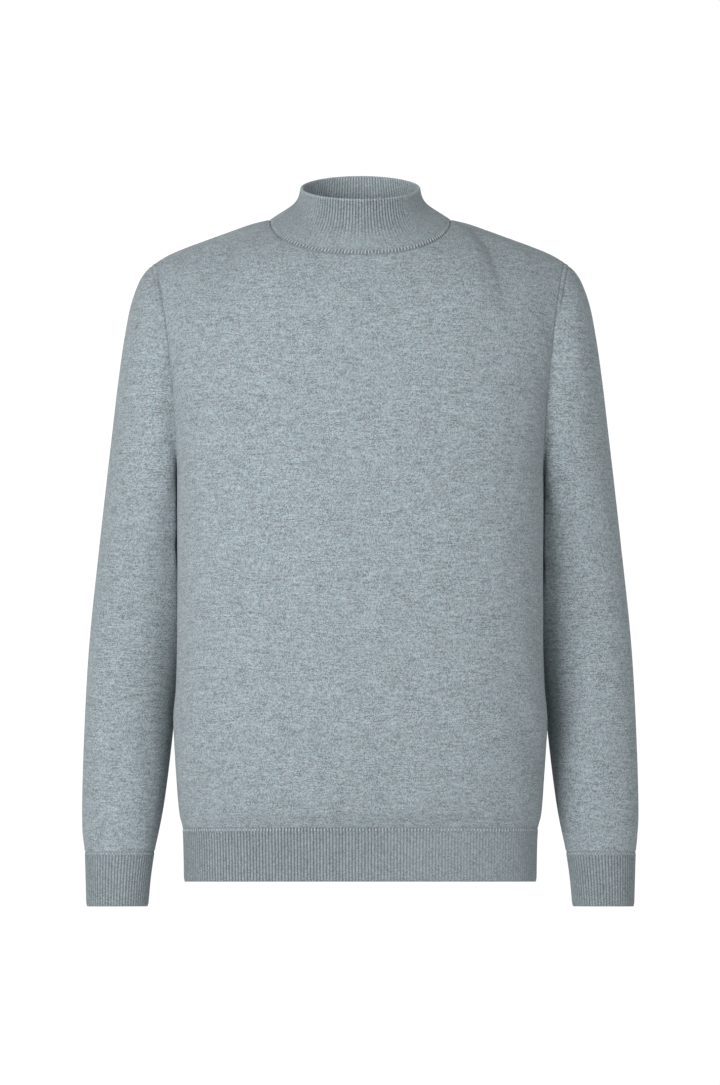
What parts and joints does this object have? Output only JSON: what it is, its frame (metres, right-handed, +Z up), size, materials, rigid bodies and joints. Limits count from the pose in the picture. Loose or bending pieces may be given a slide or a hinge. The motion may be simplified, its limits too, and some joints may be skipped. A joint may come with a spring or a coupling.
{
  "type": "turtleneck sweater",
  "caption": "Fine knitted long-sleeved sweater with a short stand-up ribbed collar, ribbed cuffs and a ribbed hem, in the hollow form it takes when worn.",
  "frame": {"origin": "midway between the two side neck points, where the wearer's shoulders carry the garment", "axes": "+X to the right as the garment is seen from the front, +Y from its front to its back, +Z up towards the collar"},
  "size_m": [0.5854, 0.2548, 0.7749],
  "materials": {
    "jersey": "fine plain knit in a blue-grey heather yarn",
    "rib": "narrow one-by-one rib knit in the same yarn"
  },
  "bodies": {
    "root": {"front_panel": "jersey", "back_panel": "jersey", "hem_rib_front": "rib", "hem_rib_back": "rib", "sleeve_right": "jersey", "sleeve_left": "jersey", "cuff_right": "rib", "cuff_left": "rib", "collar": "rib"}
  },
  "joints": []
}
